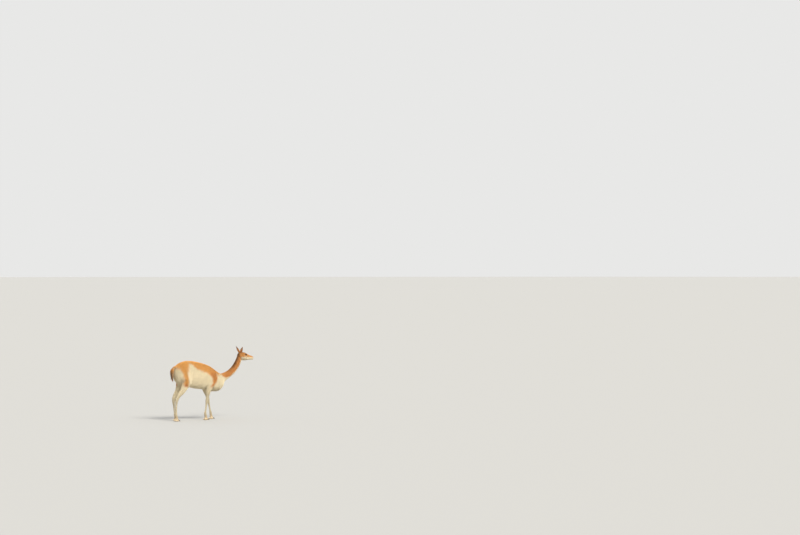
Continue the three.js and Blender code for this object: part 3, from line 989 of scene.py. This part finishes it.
def lie_of(fields, normal, rng):
    x, y, z = fields.p.T
    lie = unit(fields.lie)
    sides = fields.share["torso"] * step(np.abs(normal[:, 1]), 0.2, 0.9)
    lie[:, 2] -= 0.55 * sides
    chest = fields.share["torso"] * step(x, 200, 330)
    chest += 0.6 * fields.share["neck"] * step(560 - x, 0, 80)
    lie[:, 2] -= 1.2 * chest
    swirl = wobble(fields.p * 1.7)
    turn = 0.22 * swirl[:, None] * np.cross(normal, lie) + 0.13 * rng.standard_normal(lie.shape)
    return across(lie + turn, normal)


def clumped(fields, place, tip, middle, rng):
    """Draws the ends of neighbouring tufts together into locks."""
    share = sum(fields.share[name] * value for name, value in CLUMPED.items())
    chosen = np.flatnonzero(rng.random(len(place)) < 0.045)
    tree = KDTree(len(chosen))
    for i, k in enumerate(chosen):
        tree.insert(place[k], i)
    tree.balance()
    nearest = chosen[np.array([tree.find(point)[1] for point in place])]
    pull = (place[nearest] - place) + 0.6 * ((tip - place)[nearest] - (tip - place))
    share = (share * rng.uniform(0.6, 1.3, len(place)))[:, None]
    return tip + pull * share, middle + pull * share * 0.35


def tuft_points(fields, values, normal, rng):
    """Every tuft's seven points: three at the base, three in the middle and the tip."""
    place = fields.p
    count = len(place)
    lie = lie_of(fields, normal, rng)
    side = np.cross(normal, lie)
    length = (values["length"] * rng.uniform(0.72, 1.22, count))[:, None]
    width = (values["width"] * rng.uniform(0.7, 1.3, count))[:, None]
    lift = (values["lift"] * rng.uniform(0.6, 1.35, count))[:, None]
    curl = np.clip(0.06 * rng.standard_normal((count, 1)), -0.1, 0.1)
    thick = 0.34 * width
    root = place - normal * (0.1 + 0.06 * length)
    middle = place + lie * 0.46 * length + normal * lift * 0.55 * length + side * curl * length
    tip = place + lie * length + normal * lift * 0.42 * length + side * 2 * curl * length
    tip, middle = clumped(fields, place, tip, middle, rng)
    base = [
        root - side * width / 2,
        root + side * width / 2,
        root + normal * thick + lie * thick,
    ]
    stem = [
        middle - side * width * 0.42,
        middle + side * width * 0.42,
        middle + normal * thick,
    ]
    points = np.stack([*base, *stem, tip], 1)
    points[:, :, 2] = np.maximum(points[:, :, 2], LOWEST_HAIR)
    return points


# How far along the tuft each of its points is, and where it lies in the tuft's patch of the UV map.
ALONG = np.array([0, 0, 0.1, 0.55, 0.55, 0.6, 1.0])
PATCH = np.array([[-1, -1], [1, -1], [0, -1], [-1, 0.2], [1, 0.2], [0, 0.2], [0, 1]]) * 0.0015


def tufts(place, normal, root_uv, rng):
    """Every tuft's points in metres, markings, shade and UV, with what is known of its root."""
    fields = Fields(place, normal)
    values = coat_values(fields)
    points = tuft_points(fields, values, normal, rng)
    count = len(place)
    marks = np.empty((count, 7, 4), np.float32)
    for k, value in enumerate(markings(fields, wobble(place) + 0.9 * rng.standard_normal(count))):
        marks[:, :, k] = value[:, None]
    marks[:, :, 3] = ALONG
    shade = np.repeat(rng.random(count)[:, None], 7, 1)
    return points * MM, marks, shade, root_uv[:, None] + PATCH, fields, values["length"]


# A tuft's faces: its root, two from each side of the base to the middle, and its pointed end.
TUFT_ROOT = [[0, 2, 1]]
TUFT_STEM = [[0, 1, 4], [0, 4, 3], [1, 2, 5], [1, 5, 4], [2, 0, 3], [2, 3, 5]]
TUFT_END = [[3, 4, 6], [4, 5, 6], [5, 3, 6]]
TUFT_FACES = np.array(TUFT_ROOT + TUFT_STEM + TUFT_END)

# Short tufts are straight: the base and the tip alone.
SHORT_POINTS = [0, 1, 2, 6]
SHORT_FACES = np.array([[0, 2, 1], [0, 1, 3], [1, 2, 3], [2, 0, 3]])


def coat_piece(name, short, points, marks, shade, uv, material):
    tuft_faces, each = (SHORT_FACES, 4) if short else (TUFT_FACES, 7)
    if short:
        points, marks, shade, uv = (values[:, SHORT_POINTS] for values in (points, marks, shade, uv))
    count = len(points)
    mesh = bpy.data.meshes.new(name)
    corners = (tuft_faces[None] + each * np.arange(count)[:, None, None]).reshape(-1)
    mesh.vertices.add(count * each)
    mesh.vertices.foreach_set("co", points.astype(np.float32).ravel())
    mesh.loops.add(len(corners))
    mesh.loops.foreach_set("vertex_index", corners.astype(np.int32))
    mesh.polygons.add(len(corners) // 3)
    mesh.polygons.foreach_set("loop_start", np.arange(0, len(corners), 3, dtype=np.int32))
    mesh.update(calc_edges=True)
    layer = mesh.uv_layers.new(name="OFBake")
    layer.data.foreach_set("uv", uv.reshape(-1, 2)[corners].astype(np.float32).ravel())
    set_attribute(mesh, "marks", marks, "FLOAT_COLOR")
    set_attribute(mesh, "shade", shade)
    mesh.shade_smooth()
    mesh.materials.append(material)
    return placed(name, mesh)


PIECE_TRIANGLES = 195000
SHORT_LENGTH = 12


def make_coat(skin, material):
    rng = np.random.default_rng(SEED)
    place, normal, root_uv = roots(skin, rng)
    points, marks, shade, uv, fields, lengths = tufts(place, normal, root_uv, rng)
    names = list(COAT)
    shares = np.stack([fields.share[name] for name in names])
    region = shares.argmax(0)
    made = []
    short_ones = lengths < SHORT_LENGTH
    kinds = [(k, name, short) for k, name in enumerate(names) for short in (True, False)]
    for k, name, short in kinds:
        chosen = np.flatnonzero((region == k) & (short_ones == short))
        if not len(chosen):
            continue
        kind = f"coat_{name}_short" if short else f"coat_{name}"
        pieces = max(1, math.ceil(len(chosen) * (4 if short else 10) / PIECE_TRIANGLES))
        order = chosen[np.argsort(place[chosen, 0], kind="stable")]
        for i, part in enumerate(np.array_split(order, pieces)):
            values = (points[part], marks[part], shade[part], uv[part])
            made.append(coat_piece(f"{kind}_{i + 1}", short, *values, material))
    return made


# Materials.
COLOURS = {
    "fawn": (0.76, 0.385, 0.115),
    "rust": (0.59, 0.235, 0.072),
    "pale": (0.93, 0.81, 0.57),
    # The dark is also used for the painted shade on the nape and the tail's rear.
    "dark": (0.085, 0.036, 0.016),
}


class Nodes:
    """A material's node tree, with short ways to add to it."""

    def __init__(self, name):
        self.material = bpy.data.materials.new(name)
        self.material.use_nodes = True
        self.tree = self.material.node_tree
        self.shader = self.tree.nodes["Principled BSDF"]

    def add(self, kind):
        return self.tree.nodes.new(kind)

    def set(self, **values):
        """Values of the shader's sockets, by name with _ for each space."""
        for key, value in values.items():
            self.shader.inputs[key.replace("_", " ")].default_value = value

    def link(self, source, target):
        self.tree.links.new(source, target)

    def mix(self, factor, a, b, blend="MIX"):
        node = self.add("ShaderNodeMix")
        node.data_type = "RGBA"
        node.blend_type = blend
        for k, value in ((0, factor), (6, a), (7, b)):
            self.give(node.inputs[k], (*value, 1) if isinstance(value, tuple) else value)
        return node.outputs[2]

    def give(self, socket, value):
        if isinstance(value, bpy.types.NodeSocket):
            self.link(value, socket)
        else:
            socket.default_value = value

    def math(self, operation, a, b=0.0, c=0.0):
        node = self.add("ShaderNodeMath")
        node.operation = operation
        for socket, value in zip(node.inputs, (a, b, c)):
            self.give(socket, value)
        return node.outputs[0]

    def noise(self, scale, detail, where=None):
        """Noise on the object's own coordinates, or on others."""
        node = self.add("ShaderNodeTexNoise")
        node.inputs["Scale"].default_value = scale
        node.inputs["Detail"].default_value = detail
        where = where or self.add("ShaderNodeTexCoord").outputs["Object"]
        self.link(where, node.inputs["Vector"])
        return node.outputs["Fac"]

    def attribute(self, name):
        node = self.add("ShaderNodeAttribute")
        node.attribute_name = name
        return node

    def colour(self, value):
        self.link(value, self.shader.inputs["Base Color"])

    def dimmed(self, colour, bright):
        """A colour times a brightness."""
        grey = self.add("ShaderNodeCombineColor")
        for k in range(3):
            self.link(bright, grey.inputs[k])
        return self.mix(1.0, colour, grey.outputs[0], "MULTIPLY")

    def relief(self, height, strength, distance):
        node = self.add("ShaderNodeBump")
        node.inputs["Strength"].default_value = strength
        node.inputs["Distance"].default_value = distance
        self.link(height, node.inputs["Height"])
        self.link(node.outputs[0], self.shader.inputs["Normal"])


def scaled(colour, share):
    return tuple(share * value for value in colour)


def coat_colour(nodes):
    """The coat's colour from its markings, uneven as a real coat is."""
    marks = nodes.attribute("marks")
    parts = nodes.add("ShaderNodeSeparateColor")
    nodes.link(marks.outputs["Color"], parts.inputs[0])
    pale, rust, dark = parts.outputs[:3]
    slow = nodes.noise(9, 4)
    fine = nodes.noise(140, 3)
    fawn = nodes.mix(slow, scaled(COLOURS["fawn"], 0.88), scaled(COLOURS["fawn"], 1.12))
    cream = nodes.mix(slow, COLOURS["pale"], scaled(COLOURS["pale"], 0.86))
    colour = nodes.mix(rust, fawn, COLOURS["rust"])
    colour = nodes.mix(pale, colour, cream)
    colour = nodes.mix(dark, colour, COLOURS["dark"])
    speck = nodes.math("MULTIPLY_ADD", fine, 0.5, 0.75)
    return colour, speck, marks.outputs["Alpha"]


def tuft_material():
    """Each tuft has its own shade, and is darker at its root: painted shade deep in the coat between
    the tufts.
    """
    nodes = Nodes("coat")
    colour, speck, end = coat_colour(nodes)
    shade = nodes.attribute("shade").outputs["Fac"]
    bright = nodes.math("MULTIPLY", nodes.math("MULTIPLY_ADD", shade, 0.34, 0.83), speck)
    # Painted shade: darker towards the root, where the tufts shadow one another.
    bright = nodes.math("MULTIPLY", bright, nodes.math("MULTIPLY_ADD", end, 0.45, 0.72))
    nodes.colour(nodes.dimmed(colour, bright))
    nodes.set(Roughness=0.82, Specular_IOR_Level=0.12, Sheen_Weight=0.06, Sheen_Roughness=0.5)
    return nodes.material


def skin_material():
    """The short hair between the tufts: streaks along the lie of the coat."""
    nodes = Nodes("skin")
    colour, speck, _ = coat_colour(nodes)
    streaks = nodes.noise(0.6, 3, nodes.attribute("flow").outputs["Vector"])
    bright = nodes.math("MULTIPLY", speck, nodes.math("MULTIPLY_ADD", streaks, 0.7, 0.5))
    nodes.colour(nodes.dimmed(colour, bright))
    nodes.set(Roughness=0.8, Specular_IOR_Level=0.2)
    nodes.relief(streaks, 0.6, 0.0015)
    return nodes.material


PUPIL = {"half_width": 0.0072, "half_height": 0.0044}


def eye_material():
    """A dark, wet eye: a level oval pupil in a brown iris, drawn in the eyeball's own frame."""
    nodes = Nodes("eye")
    parts = nodes.add("ShaderNodeSeparateXYZ")
    nodes.link(nodes.add("ShaderNodeTexCoord").outputs["Object"], parts.inputs[0])
    x = nodes.math("DIVIDE", parts.outputs[0], PUPIL["half_width"])
    y = nodes.math("DIVIDE", parts.outputs[1], PUPIL["half_height"])
    squares = nodes.math("ADD", nodes.math("MULTIPLY", x, x), nodes.math("MULTIPLY", y, y))
    outside = nodes.math("MAXIMUM", nodes.math("SUBTRACT", nodes.math("SQRT", squares), 1.0), 0.0)
    edge = nodes.math("SMOOTH_MIN", outside, 1.0, 0.2)
    iris = nodes.mix(nodes.noise(700, 2), (0.016, 0.006, 0.003), (0.045, 0.018, 0.007))
    nodes.colour(nodes.mix(edge, (0.004, 0.004, 0.005), iris))
    nodes.set(Roughness=0.04, Specular_IOR_Level=0.2)
    return nodes.material


def nail_material():
    nodes = Nodes("nail")
    streaks = nodes.noise(260, 4)
    nodes.colour(nodes.mix(streaks, (0.02, 0.015, 0.012), (0.07, 0.05, 0.038)))
    nodes.set(Roughness=0.42)
    nodes.relief(streaks, 0.3, 0.0006)
    return nodes.material


def make_eye(side, sign, material):
    centre = eye_centre(sign)
    gaze, across_eye, up = (HEAD_FRAME.to_3x3() @ axis for axis in eye_axes(sign))
    if across_eye.cross(up).dot(gaze) < 0:
        across_eye = -across_eye
    b = bmesh.new()
    bmesh.ops.create_uvsphere(b, u_segments=48, v_segments=32, radius=EYE["radius"] * MM)
    for vertex in b.verts:
        forward = vertex.co.z / (EYE["radius"] * MM)
        vertex.co.z += 0.0008 * max(forward - 0.72, 0) / 0.28
    mesh = bpy.data.meshes.new(f"eyeball_{side}")
    b.to_mesh(mesh)
    b.free()
    mesh.shade_smooth()
    mesh.materials.append(material)
    made = placed(f"eyeball_{side}", mesh)
    turn = Matrix((across_eye, up, gaze)).transposed().to_4x4()
    made.matrix_world = Matrix.Translation(centre * MM) @ turn
    return made


def make_nails(material):
    made = []
    rows = [
        [FOOT["toe"] - NAIL["root"], 0, 16, 5, 5, NAIL["wide"] - 1],
        [FOOT["toe"] - 12, 0, 14, NAIL["high"] - 1, NAIL["high"] - 2, NAIL["wide"]],
        [FOOT["toe"] - 2, 0, 9, 6, 6, NAIL["wide"] - 3],
        [FOOT["toe"] + NAIL["proud"], 0, 3.5, 1.4, 1.6, 2],
    ]
    for side, sign, hind, leg, (x, z) in limbs():
        for toe in (1, -1):
            points, faces = moved(tube(smooth(rows, 5), 20), toe_matrix(x, leg[-1][1], toe))
            points = [Vector((p.x, p.y, max(p.z, SOLE))) * MM for p in points]
            place = "outer" if toe == sign else "inner"
            end = "hind" if hind else "fore"
            nail = mesh_object(f"claw_{end}_{side}_{place}", points, faces)
            nail.data.shade_smooth()
            nail.data.materials.append(material)
            made.append((nail, f"nail_{end}_{side}_{place}"))
    return made


# Floor, light and camera. The floor runs out far enough for a straight horizon.
FLOOR_SIZE = 4000
SKY = {"colour": (0.95, 0.95, 0.94, 1), "strength": 0.85}
SUN = {"from": (-0.05, -0.8, 0.75), "strength": 3.0, "angle": 25, "colour": (1.0, 0.95, 0.86)}


def make_floor():
    size = FLOOR_SIZE / 2
    corners = [(-size, -size, 0), (size, -size, 0), (size, size, 0), (-size, size, 0)]
    floor = mesh_object("floor", corners, [(0, 1, 2, 3)])
    nodes = Nodes("floor")
    nodes.set(Base_Color=(0.50, 0.50, 0.49, 1), Roughness=0.9)
    floor.data.materials.append(nodes.material)


def make_light():
    bpy.context.scene.view_settings.view_transform = "Standard"
    world = bpy.data.worlds.new("studio")
    bpy.context.scene.world = world
    world.use_nodes = True
    sky = world.node_tree.nodes["Background"]
    sky.inputs["Color"].default_value = SKY["colour"]
    sky.inputs["Strength"].default_value = SKY["strength"]
    data = bpy.data.lights.new("sun", "SUN")
    data.energy = SUN["strength"]
    data.color = SUN["colour"]
    data.angle = math.radians(SUN["angle"])
    sun = placed("sun", data)
    sun.rotation_euler = Vector(SUN["from"]).to_track_quat("Z", "Y").to_euler()


CAMERA = {
    "azimuth": -35,
    "distance": 33.4,
    "height": 2.17,
    "lens": 100,
    "sensor": 36,
    "frame": (800, 535),
    "animal_x": 196,
    "horizon_y": 275,
}


def make_camera(shift):
    """Level with the horizon's row, the trunk's middle at its column in the frame."""
    focal = CAMERA["frame"][0] * CAMERA["lens"] / CAMERA["sensor"]
    turn = math.atan((CAMERA["frame"][0] / 2 - CAMERA["animal_x"]) / focal)
    tilt = math.atan((CAMERA["horizon_y"] - CAMERA["frame"][1] / 2) / focal)
    azimuth = math.radians(CAMERA["azimuth"])
    back = Vector((math.sin(azimuth), -math.cos(azimuth), 0)) * CAMERA["distance"]
    data = bpy.data.cameras.new("camera")
    data.lens = CAMERA["lens"]
    data.sensor_width = CAMERA["sensor"]
    data.clip_end = 1.25 * FLOOR_SIZE
    camera = placed("camera", data)
    camera.location = shift + back + Vector((0, 0, CAMERA["height"]))
    camera.rotation_euler = (math.pi / 2 + tilt, 0, azimuth - turn)
    bpy.context.scene.camera = camera


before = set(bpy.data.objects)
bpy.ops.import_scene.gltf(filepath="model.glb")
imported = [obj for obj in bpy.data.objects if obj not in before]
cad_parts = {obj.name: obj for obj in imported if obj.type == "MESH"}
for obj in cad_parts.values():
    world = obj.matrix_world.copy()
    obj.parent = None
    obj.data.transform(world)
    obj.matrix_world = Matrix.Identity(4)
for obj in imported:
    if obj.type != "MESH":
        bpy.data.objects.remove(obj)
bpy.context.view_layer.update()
low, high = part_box("eye_right")
SHIFT = (low + high) / 2 - eye_centre(-1) * MM
SHIFT.z = 0

skin = make_skin()
skin_fields = Fields(coords(skin.data) / MM, normals_of(skin.data))
skin_marks = np.ones((len(skin.data.vertices), 4), np.float32)
for k, value in enumerate(markings(skin_fields, wobble(skin_fields.p))):
    skin_marks[:, k] = value
set_attribute(skin.data, "marks", skin_marks, "FLOAT_COLOR")
set_attribute(skin.data, "flow", skin_fields.flow, "FLOAT_VECTOR")
skin.data.materials.append(skin_material())
coat = make_coat(skin, tuft_material())
eyeball = eye_material()
eyes = {side: make_eye(side, sign, eyeball) for side, sign in SIDES.items()}
nails = make_nails(nail_material())

flesh = [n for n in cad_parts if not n.startswith(("eye_", "nail_"))]
for piece in [skin, *coat, *eyes.values(), *[nail for nail, _ in nails]]:
    piece.location += SHIFT
    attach(piece, "root")
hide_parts(*flesh)
for side, eye in eyes.items():
    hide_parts(f"eye_{side}")
for nail, node in nails:
    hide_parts(node)

make_floor()
make_light()
make_camera(SHIFT)
